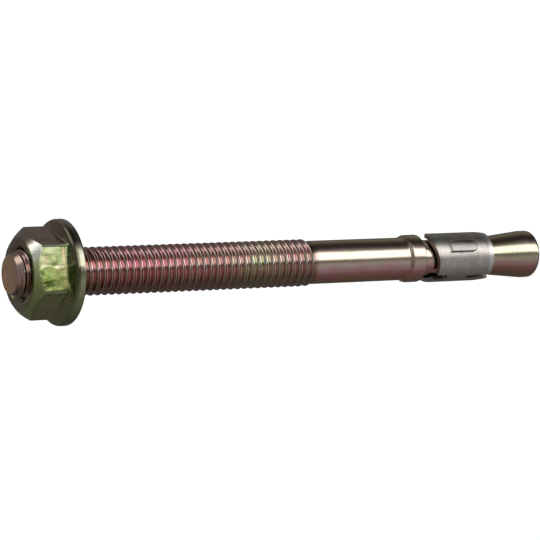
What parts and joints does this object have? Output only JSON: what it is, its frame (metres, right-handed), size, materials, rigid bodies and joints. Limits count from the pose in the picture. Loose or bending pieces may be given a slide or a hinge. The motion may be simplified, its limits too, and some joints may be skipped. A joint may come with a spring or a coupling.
{
  "type": "wedge anchor",
  "caption": "Wedge anchor for concrete: a threaded stud with a flange nut and a split expansion clip that grips the drilled hole when the nut draws the cone into it.",
  "frame": {"origin": "centre of the flat face at the cone end of the stud", "axes": "+Z along the stud, from the cone end to the threaded end; -Y is square to a flat of the nut"},
  "size_m": [0.0168, 0.0168, 0.0965],
  "materials": {
    "stud_zinc": "zinc plated with an iridescent yellow-brown passivation, glossy",
    "nut_zinc": "zinc plated with an iridescent yellow-green passivation, glossy",
    "clip_steel": "plain silver-grey strip steel, satin"
  },
  "bodies": {
    "stud": {"anchor_bolt": "stud_zinc"},
    "nut": {"flange_nut": "nut_zinc"},
    "clip": {"expansion_clip": "clip_steel"}
  },
  "joints": [
    {"name": "nut_travel", "type": "slide", "parent": "stud", "child": "nut", "axis": [0, 0, 1], "range_m": [-0.043, 0.0094]},
    {"name": "clip_turn", "type": "hinge", "parent": "stud", "child": "clip", "pos_m": [0, 0, 0.0153], "axis": [0, 0, 1], "continuous": true}
  ]
}
